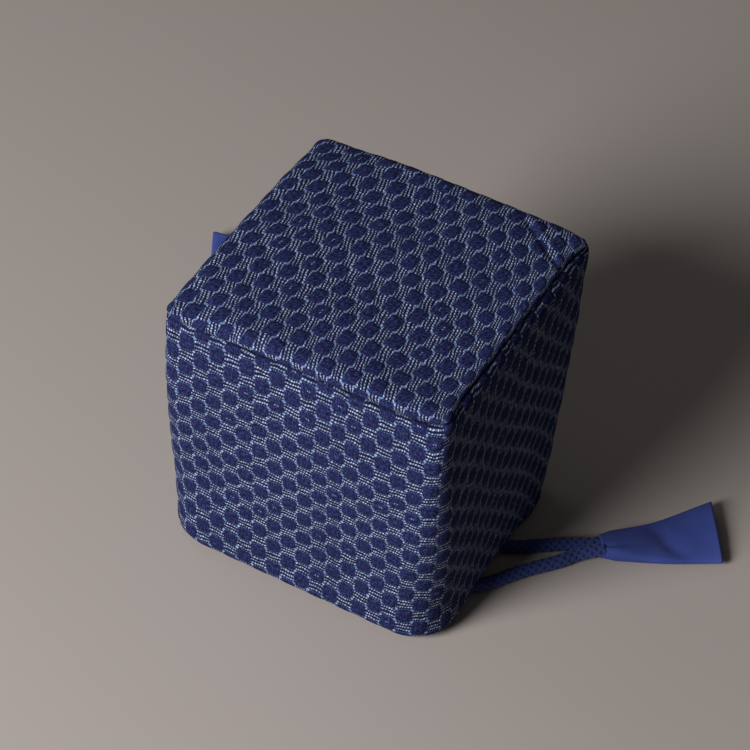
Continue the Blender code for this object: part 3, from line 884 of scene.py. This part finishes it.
def checker_cloth(name, pad, row_gap, dashes, slant):
    """The woven cloth: dark indigo pads, pale dashes and pale-blue threads round the pads, with
    painted shade in the seam's groove.
    """
    material, tree, shader = new_material(name, roughness=0.9, sheen=0.0)
    cells = weave_uv(tree)
    weave = group_node(tree, checker, {
        "Cells": cells, "Pad across": pad[0], "Pad up": pad[1],
        "Row gap": row_gap, "Dashes": dashes, "Slant": slant})
    cotton = group_node(tree, cotton_fibre, {"Fineness": WEAVE_FINENESS})
    stretch = tree.nodes.new("ShaderNodeMapping")
    stretch.vector_type = "TEXTURE"
    stretch.inputs["Rotation"].default_value = (0.0, 0.0, 0.55)
    stretch.inputs["Scale"].default_value = (0.075, 0.24, 1.0)
    tree.links.new(cells, stretch.inputs["Vector"])
    floats = tree.nodes.new("ShaderNodeTexNoise")
    floats.inputs["Scale"].default_value = 1.0
    floats.inputs["Detail"].default_value = 3.0
    tree.links.new(stretch.outputs["Vector"], floats.inputs["Vector"])
    streak = ramp_node(tree, floats.outputs["Fac"], 0.42, 0.70)
    pad_colour = mix_node(tree, streak, PAD_DARK, PAD_PALE)
    flecked = mix_node(tree, weave["Fleck"], pad_colour, FLECK_COLOUR)
    ground = mix_node(tree, cotton["Dye"], GROUND_DARK, GROUND_PALE)
    worn = math_node(tree, "MULTIPLY_ADD", cotton["Fibre"], 2.6, -0.75)
    linked = math_node(tree, "MULTIPLY", weave["Link"], worn, clamp=True)
    links = mix_node(tree, linked, ground, LINK_COLOUR)
    lit = math_node(tree, "MULTIPLY_ADD", cotton["Fibre"], 0.6, 0.7)
    dashed = math_node(tree, "MULTIPLY", weave["Dash"], lit, clamp=True)
    open_cloth = mix_node(tree, dashed, links, DASH_COLOUR)
    woven = mix_node(tree, weave["Pad"], open_cloth, flecked)
    # Painted shade: the "crease" attribute darkens the cloth in the seam's groove.
    crease = tree.nodes.new("ShaderNodeAttribute")
    crease.attribute_name = "crease"
    colour = mix_node(tree, crease.outputs["Fac"], woven, PAINTED_SHADE_COLOUR)
    tree.links.new(colour, shader.inputs["Base Color"])
    ribs = math_node(tree, "MULTIPLY_ADD", floats.outputs["Fac"], 0.5, weave["Height"])
    height = math_node(tree, "MULTIPLY_ADD", cotton["Fibre"], 0.3, ribs)
    relief_node(tree, shader, height, WEAVE_GRAIN)
    return material


def band_profile(share, top, roll):
    """Inset and height up the band: rolled rim, wall, and the edge turned in at the seam."""
    floor = COLLAR_CLOTH + GAP
    arc = RIM_ROLL * math.pi / 2
    turned = roll * math.pi / 2
    wall = top - roll - floor - RIM_ROLL
    travel = (arc + wall + turned + SEAM_TUCK) * share
    if travel < arc:
        angle = travel / RIM_ROLL
        return RIM_ROLL * (1 - math.sin(angle)), floor + RIM_ROLL * (1 - math.cos(angle))
    if travel < arc + wall:
        return 0.0, floor + RIM_ROLL + travel - arc
    if travel < arc + wall + turned:
        angle = (travel - arc - wall) / roll
        return roll * (1 - math.cos(angle)), top - roll * (1 - math.sin(angle))
    return roll + travel - arc - wall - turned, top


def band_weave(u, v):
    spot = Vector((math.cos(math.tau * u), math.sin(math.tau * u), v * 1.5)) * 2.6
    across = u * 4 * SIDE_COLUMNS + noise.noise(spot) * BAND_DRIFT[0]
    up = BAND_ROWS * (v - ROW_SPREAD * math.sin(math.tau * v))
    return across, up + noise.noise(spot + Vector((7.0, 3.0, 5.0))) * BAND_DRIFT[1]


def band_place(u, v):
    seam_spot, _ = around_bag(u, 0.0, HEIGHT - SEAM_DROP)
    inset, height = band_profile(v, seam_height(seam_spot), seam_roll(seam_spot))
    place, out = around_bag(u, inset, height)
    relief = PAD_RISE * pad_height(*band_weave(u, v), *BAND_PAD)
    from_closing = (u * 4 - CLOSING_SIDE) * SIDE_COLUMNS / CLOSING_WIDE
    closing = CLOSING_TUCK * math.exp(-from_closing ** 2)
    settled = smooth_step((height - RIM_ROLL) / WALL_SETTLED)
    moved = place + out * (relief - closing * settled + wadding_swell(place) * settled)
    moved.z += arch_lift(place)
    return moved


def band_seam_shade(u, v):
    """Painted shade in the groove where the band's cloth turns in at the seam."""
    seam_spot, _ = around_bag(u, 0.0, HEIGHT - SEAM_DROP)
    roll = seam_roll(seam_spot)
    inset, height = band_profile(v, seam_height(seam_spot), roll)
    lit = SEAM_LIT + (roll - SEAM_ROLL) * SEAM_LIT_RIGHT
    shade = smooth_step((inset - lit) / SEAM_SHADE)
    return PAINTED_SHADE_DARKNESS * shade if height > HEIGHT / 2 else 0.0


band_cloth = checker_cloth("woven_band", BAND_PAD, row_gap=0.27, dashes=6.0, slant=0.0)
band_mesh = laid_cloth(4 * SIDE_COLUMNS * CELL_COLUMNS, BAND_ROWS * CELL_ROWS,
                       band_place, band_weave, band_seam_shade)
close_round(band_mesh)
side_band = finish_piece("side_band_cloth", band_mesh, band_cloth, "woven_indigo", "side_band")
thicken(side_band, CLOTH)

# Base panel
# A square of the same cloth, turned so that its dashes run front to back, covers the base.
# Its edge rolls over the wadding down to the seam, and its rows bow from the pull of it.
BASE_ACROSS = 17
BASE_UP = 26
BASE_PAD = (0.50, 0.55)
EDGE_ROLL = 0.0045
EDGE_ARC = 0.0112
EDGE_ARC_SHARE = 0.88
EDGE_TURN = 2.25
EDGE_FACING = 1.57
EDGE_TUCK = 0.0012
EDGE_IN_RIGHT = 0.0027
BACK_SAG = 0.0027
FRONT_SAG = 0.0022
SAG_START = 1.35
SAG_SPREAD = 0.55
ROW_BOW = 0.008
ROW_BOW_X = 0.0125
ROW_LEAN_LEFT = 0.4
ROW_LEAN_RIGHT = 1.2
CROWN = 0.0006
BASE_CELL_COLUMNS = 9
PUCKER_START = Vector((0.0260, 0.0470, 0.0))
PUCKER_END = Vector((0.0470, 0.0310, 0.0))
PUCKER_DEEP = 0.0008
PUCKER_WIDE = 0.0012
PUCKER_BEFORE = 0.15
PUCKER_RISE = 0.4
PUCKER_AFTER = 1.25
PUCKER_FALL = 0.3
PUCKER_LIP = 0.4
PUCKER_LIP_AT = 1.6
BASE_DRIFT = (0.15, 0.25)
# Where painted shade begins along the panel's rolled edge towards the seam, and how far it takes
# to deepen.
BASE_SEAM_SHADE_START = 0.76
BASE_SEAM_SHADE_FADE = 0.16


def base_spot(u, v):
    """Cloth coordinates on the panel, in metres from its middle."""
    half_x, half_y = half_sizes(HEIGHT - SEAM_DROP)
    reach = EDGE_ARC - EDGE_ROLL
    return (1 - 2 * v) * (half_x + reach), (2 * u - 1) * (half_y + reach)


def base_weave(u, v):
    x, y = base_spot(u, v)
    lean = y / (TOP_DEPTH / 2)
    bow = ((x - ROW_BOW_X) / (TOP_WIDTH / 2)) ** 2 * ROW_BOW
    bow *= 1 + (ROW_LEAN_RIGHT if x >= ROW_BOW_X else ROW_LEAN_LEFT) * lean
    across = (u + bow / TOP_DEPTH) * BASE_ACROSS
    sideways = noise.noise(Vector((x * 55, y * 55, 2.0))) * BASE_DRIFT[0]
    lengthways = noise.noise(Vector((x * 45, y * 45, 9.0))) * BASE_DRIFT[1]
    return across + sideways, v * BASE_UP + lengthways


def corner_sag(spot):
    """How far the padding sags at the two left corners of the base."""
    half_x, half_y = half_sizes(HEIGHT)
    towards = abs(spot.y) / half_y - spot.x / half_x
    sag = BACK_SAG if spot.y > 0 else FRONT_SAG
    return sag * smooth_step((towards - SAG_START) / SAG_SPREAD)


def pucker(spot):
    """Depth of the shallow fold that the pull of the seam draws across the far right corner."""
    line = PUCKER_END - PUCKER_START
    offset = Vector((spot.x, spot.y, 0.0)) - PUCKER_START
    along = offset.dot(line) / line.length_squared
    across = line.cross(offset).z / line.length / PUCKER_WIDE
    begins = smooth_step((along + PUCKER_BEFORE) / PUCKER_RISE)
    fade = begins * smooth_step((PUCKER_AFTER - along) / PUCKER_FALL)
    lip = PUCKER_LIP * math.exp(-(across - PUCKER_LIP_AT) ** 2)
    return PUCKER_DEEP * fade * (math.exp(-across ** 2) - lip)


def base_place(u, v):
    half_x, half_y = half_sizes(HEIGHT - SEAM_DROP)
    x, y = base_spot(u, v)
    inner_x, inner_y = half_x - EDGE_ROLL, half_y - EDGE_ROLL
    over = Vector((math.copysign(max(abs(x) - inner_x, 0.0), x),
                   math.copysign(max(abs(y) - inner_y, 0.0), y), 0.0))
    share = min(max(abs(over.x), abs(over.y)) / EDGE_ARC, 1.0)
    turn = min(share / EDGE_ARC_SHARE, 1.0) * EDGE_TURN
    out = over.normalized() if over.length else Vector((0.0, 0.0, 0.0))
    tuck = EDGE_TUCK * max(share - EDGE_ARC_SHARE, 0.0) / (1 - EDGE_ARC_SHARE)
    spot = Vector((min(max(x, -inner_x), inner_x), min(max(y, -inner_y), inner_y), 0.0))
    roll = EDGE_ROLL - EDGE_IN_RIGHT * right_share(spot)
    spot += out * (roll * math.sin(turn) - tuck)
    drop = (HEIGHT - seam_height(spot)) / (1 - math.cos(EDGE_TURN))
    crown = CROWN * (1 - (x / half_x) ** 2) * (1 - (y / half_y) ** 2)
    spot.z = HEIGHT - drop * (1 - math.cos(turn)) + max(crown, 0.0)
    spot.z -= corner_sag(spot) * (1 + math.cos(turn)) / 2 + pucker(spot) * (1 - share)
    facing = min(turn, EDGE_FACING)
    face = out * math.sin(facing) + Vector((0.0, 0.0, math.cos(facing)))
    relief = PAD_RISE * pad_height(*base_weave(u, v), *BASE_PAD)
    return spot + face.normalized() * (relief + wadding_swell(spot) * (1 - share))


def base_seam_shade(u, v):
    """Painted shade in the groove where the panel's cloth turns in at the seam."""
    half_x, half_y = half_sizes(HEIGHT - SEAM_DROP)
    x, y = base_spot(u, v)
    over = max(abs(x) - half_x, abs(y) - half_y) + EDGE_ROLL
    return PAINTED_SHADE_DARKNESS * smooth_step((over / EDGE_ARC - BASE_SEAM_SHADE_START) / BASE_SEAM_SHADE_FADE)


base_cloth = checker_cloth("woven_base", BASE_PAD, row_gap=0.25, dashes=6.0, slant=0.30)
base_mesh = laid_cloth(BASE_ACROSS * BASE_CELL_COLUMNS, BASE_UP * CELL_ROWS,
                       base_place, base_weave, base_seam_shade)
base_panel = finish_piece("base_panel_cloth", base_mesh, base_cloth, "woven_indigo", "base_panel")
thicken(base_panel, CLOTH)

# Side wadding
# A soft layer about 5 mm thick fills the four sides and the rolled rim between the woven
# cloth and the lining; its surface is slightly uneven.
FLEECE_DARK = (0.62, 0.60, 0.55)
FLEECE_PALE = (0.88, 0.87, 0.83)
FLEECE_GRAIN = 0.0006
FLEECE_FINENESS = 900.0
PLAIN_AROUND = 0.4
PLAIN_UP = 0.1
WADDING_COLUMNS = 144
WADDING_ROWS = 90
WADDING_UNEVEN = 0.00018
PADDING_SECTION = (
    (0.0063, 0.0014),
    (0.0045, 0.0014),
    (0.0045, 0.0029),
    (0.0028, 0.0047),
    (0.0017, 0.0078),
    (0.0017, 0.0540),
    (0.0017, 0.1018),
    (0.0026, 0.1030),
    (0.0054, 0.1030),
    (0.0063, 0.1018),
    (0.0063, 0.0540),
    (0.0063, 0.0014),
)


def along_section(section, share):
    """Inset and height at a share of the length of a section."""
    spans = [math.dist(here, there) for here, there in zip(section, section[1:])]
    travel = share * sum(spans)
    for span, here, there in zip(spans, section, section[1:]):
        if travel <= span + 0.0000001:
            part = travel / span
            return here[0] + (there[0] - here[0]) * part, here[1] + (there[1] - here[1]) * part
        travel -= span
    return section[-1]


def side_wadding_place(u, v):
    inset, height = along_section(PADDING_SECTION, v)
    place, out = around_bag(u, inset, height)
    place.z += arch_lift(place)
    return place + out * noise.noise(place * 140.0) * WADDING_UNEVEN


def plain_weave_uv(u, v):
    """Thread count of a plain cloth, near enough for all that lies inside."""
    return u * PLAIN_AROUND / THREAD, v * PLAIN_UP / THREAD


def wadding_fleece():
    """Off-white matted fibre."""
    material, tree, shader = new_material("wadding", roughness=0.95, sheen=0.3)
    cotton = group_node(tree, cotton_fibre, {"Fineness": FLEECE_FINENESS})
    patchy = math_node(tree, "MULTIPLY", cotton["Dye"], 0.3)
    tone = math_node(tree, "MULTIPLY_ADD", cotton["Fibre"], 0.7, patchy)
    colour = mix_node(tree, tone, FLEECE_DARK, FLEECE_PALE)
    tree.links.new(colour, shader.inputs["Base Color"])
    relief_node(tree, shader, tone, FLEECE_GRAIN)
    return material


fleece = wadding_fleece()
wadding_mesh = laid_cloth(WADDING_COLUMNS, WADDING_ROWS, side_wadding_place, plain_weave_uv)
close_round(wadding_mesh)
bmesh.ops.recalc_face_normals(wadding_mesh, faces=wadding_mesh.faces)
side_wadding = finish_piece("side_wadding", wadding_mesh, fleece, "wadding", "side_padding")

# Base wadding
# A pad of the same wadding lies under the base panel, its upper edge rounded off.
BASE_UNDER = 0.1035
BASE_PAD_TOP = 0.1084
BASE_WADDING_IN = 0.0018
BASE_WADDING_ROLL = 0.0042
BASE_WADDING_CUTS = 31
BASE_WADDING_UNEVEN = 0.00015

base_fill = bmesh.new()
bmesh.ops.create_cube(base_fill, size=1.0)
bmesh.ops.subdivide_edges(base_fill, edges=base_fill.edges, cuts=BASE_WADDING_CUTS,
                           use_grid_fill=True)
wadding_half_x, wadding_half_y = half_sizes(BASE_UNDER)
for vert in base_fill.verts:
    rise = vert.co.z + 0.5
    shrink = BASE_WADDING_IN + BASE_WADDING_ROLL * (1 - math.sqrt(max(1 - rise * rise, 0.0)))
    x = vert.co.x * 2 * (wadding_half_x - shrink)
    y = vert.co.y * 2 * (wadding_half_y - shrink)
    z = BASE_UNDER + (BASE_PAD_TOP - BASE_UNDER) * rise
    uneven = noise.noise(Vector((x, y, z)) * 120.0) * BASE_WADDING_UNEVEN * rise
    vert.co = Vector((x, y, z + uneven))
    vert.co.z -= corner_sag(vert.co) * rise
bmesh.ops.recalc_face_normals(base_fill, faces=base_fill.faces)
base_wadding = finish_piece("base_wadding", base_fill, fleece, "wadding", "base_padding")

# Side lining
# Undyed plain cotton faces the inside of the four sides.
LINING_IN = 0.0070
LINING = 0.0006
LINING_EASE = 0.0002
LINING_FLOOR = 0.0021
LINING_TOP = 0.1016
LINING_COLUMNS = 144
LINING_ROWS = 60
UNDYED_DARK = (0.50, 0.48, 0.43)
UNDYED_PALE = (0.74, 0.72, 0.67)


def side_lining_place(u, v):
    place, out = around_bag(u, LINING_IN, LINING_FLOOR + (LINING_TOP - LINING_FLOOR) * v)
    place.z += arch_lift(place)
    return place - out * (LINING_EASE + noise.noise(place * 60.0) * LINING_EASE)


undyed_cotton = plain_cotton("lining_cotton", UNDYED_DARK, UNDYED_PALE)
lining_mesh = laid_cloth(LINING_COLUMNS, LINING_ROWS, side_lining_place, plain_weave_uv)
close_round(lining_mesh)
side_lining = finish_piece("side_lining_cloth", lining_mesh, undyed_cotton, "lining_cotton",
                           "side_lining")
thicken(side_lining, LINING)

# Base lining
# A square of the same undyed cotton closes the inside, on the inner face of the base
# wadding.
BASE_LINING_UNDER = 0.0004
BASE_LINING_UNEVEN = 0.0001


def base_lining_place(u, v):
    half_x, half_y = half_sizes(BASE_UNDER)
    x = (2 * u - 1) * (half_x - LINING_IN)
    y = (2 * v - 1) * (half_y - LINING_IN)
    uneven = noise.noise(Vector((x, y, 0.3)) * 50.0) * BASE_LINING_UNEVEN
    return Vector((x, y, BASE_UNDER - BASE_LINING_UNDER + uneven))


inner_mesh = laid_cloth(LINING_ROWS, LINING_ROWS, base_lining_place, plain_weave_uv)
base_lining = finish_piece("base_lining_cloth", inner_mesh, undyed_cotton, "lining_cotton",
                           "base_lining")
thicken(base_lining, LINING)

# Mouth collar
# Plain blue cotton is hemmed inside the rim, rises in gathers to the casing of the cords
# and ends below it in a pleated frill that the bag stands on.
COLLAR_SHEET = 0.0007
HEM_IN = 0.0027
PLEATS = 36
PLEAT_COLUMNS = 10
COLLAR_ROWS = 96
PLEAT_DEPTH = 0.0006
NECK_PLEAT = 0.0004
FRILL_PLEAT = 0.0005
NECK_TURN = math.radians(-135)
CASING_CLOTH = 0.0005
CASING_SLIT = 0.28
CASING_FLOOR = 0.0030
CASING_HEIGHT = 0.0110
CASING_IN = 0.0006
CASING_PLEAT = 0.0003
CASING_COLUMNS = 90
CASING_ROWS = 12
HOLE_RADIUS = 0.0103
CASING_OUT = 0.0168
FRILL_RADIUS = 0.0328
COLLAR_SECTION = (
    (0.000, 0.0008),
    (0.125, 0.0008),
    (0.400, 0.0062),
    (0.740, 0.0120),
    (0.930, 0.0143),
    (1.000, 0.0148),
)
NECK_SECTION = (
    (CASING_OUT, 0.0148),
    (HOLE_RADIUS + 0.0010, 0.0150),
    (HOLE_RADIUS, 0.0138),
    (HOLE_RADIUS, 0.0034),
    (HOLE_RADIUS + 0.0016, 0.0020),
    (FRILL_RADIUS, 0.0013),
)
COLLAR_SHARE = 0.52


def neck_place(u, radius, height):
    """Place at the round neck, matched to the same share of the way round the bag."""
    angle = NECK_TURN + math.tau * u
    return Vector((radius * math.cos(angle), radius * math.sin(angle), height))


def collar_place(u, v):
    pleat = math.cos(math.tau * u * PLEATS) + 0.4 * math.sin(math.tau * u * PLEATS * 0.5)
    if v <= COLLAR_SHARE:
        share, height = along_section(COLLAR_SECTION, v / COLLAR_SHARE)
        hem, _ = around_bag(u, HEM_IN, 0.0)
        place = hem.lerp(neck_place(u, CASING_OUT, 0.0), share)
        place.z = height + PLEAT_DEPTH * pleat * smooth_step(share * 1.4)
        place.z += arch_lift(Vector((place.x, place.y, 0.0)))
        return place
    radius, height = along_section(NECK_SECTION, (v - COLLAR_SHARE) / (1 - COLLAR_SHARE))
    frill = smooth_step((radius - HOLE_RADIUS - 0.002) / 0.008) if height < 0.01 else 0.0
    casing = smooth_step((height - 0.012) / 0.002)
    height += PLEAT_DEPTH * pleat * casing + FRILL_PLEAT * (pleat - 0.4) * frill
    return neck_place(u, radius + NECK_PLEAT * pleat * (1 - casing) * (1 - frill), height)


collar_mesh = laid_cloth(PLEATS * PLEAT_COLUMNS, COLLAR_ROWS, collar_place, plain_weave_uv)
close_round(collar_mesh)
collar = finish_piece("mouth_collar_cloth", collar_mesh, blue_cotton, "plain_blue",
                      "mouth_collar")
thicken(collar, COLLAR_SHEET, offset=0.0)


def casing_place(u, v):
    """The casing's outer wall, between the slits that the strands leave by."""
    angle = math.pi * (CASING_SLIT + (1 - 2 * CASING_SLIT) * u)
    height = CASING_FLOOR + CASING_HEIGHT * v
    radius = CASING_OUT - CASING_IN + CASING_PLEAT * math.cos(angle * PLEATS)
    return Vector((radius * math.cos(angle), radius * math.sin(angle), height))


for casing_side, casing_turn in (("front", math.pi), ("back", 0.0)):
    casing_mesh = laid_cloth(CASING_COLUMNS, CASING_ROWS, casing_place, plain_weave_uv)
    bmesh.ops.rotate(casing_mesh, verts=casing_mesh.verts, cent=(0.0, 0.0, 0.0),
                     matrix=Matrix.Rotation(casing_turn, 3, "Z"))
    casing = finish_piece("casing_" + casing_side, casing_mesh, blue_cotton, "plain_blue",
                          "mouth_collar")
    thicken(casing, CASING_CLOTH)
